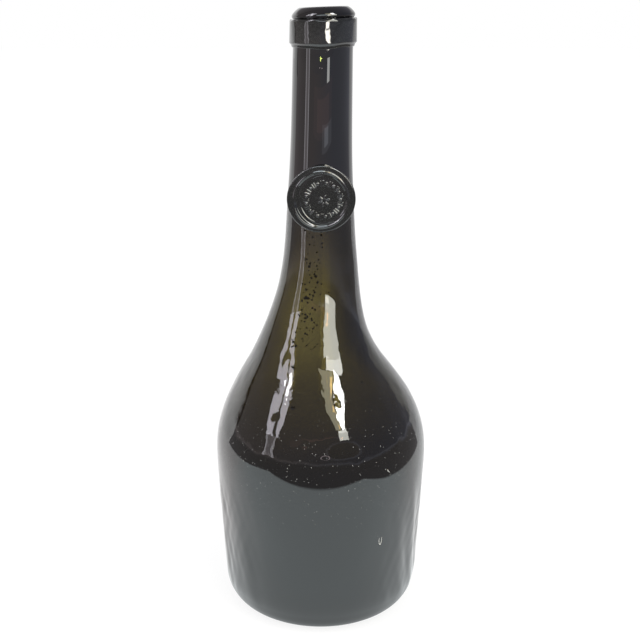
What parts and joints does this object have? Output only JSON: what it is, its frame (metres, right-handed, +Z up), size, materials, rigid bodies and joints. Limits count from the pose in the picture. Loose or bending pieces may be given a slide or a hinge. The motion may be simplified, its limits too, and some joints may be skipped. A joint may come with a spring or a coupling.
{
  "type": "blown glass bottle",
  "caption": "Hand-blown dark olive glass wine bottle with a round body on a pushed-up base, a tall swept neck, a laid-on collar at the mouth and a stamped glass pad on the neck.",
  "frame": {"origin": "on the table under the middle of the base", "axes": "+Z up along the bottle, -Y out of the front where the stamped pad is, +X to the right seen from the front"},
  "size_m": [0.1037, 0.1036, 0.2905],
  "materials": {
    "bottle_glass": "fire-polished near-black olive green glass, wavy, with seeds",
    "collar_glass": "fire-polished near-black glass, tooled",
    "pad_glass": "fire-polished near-black glass, stamped in relief",
    "scar_glass": "rough broken olive green glass"
  },
  "bodies": {
    "root": {"bottle_body": "bottle_glass", "lip_band": "collar_glass", "neck_seal": "pad_glass", "pontil_scar": "scar_glass"}
  },
  "joints": []
}
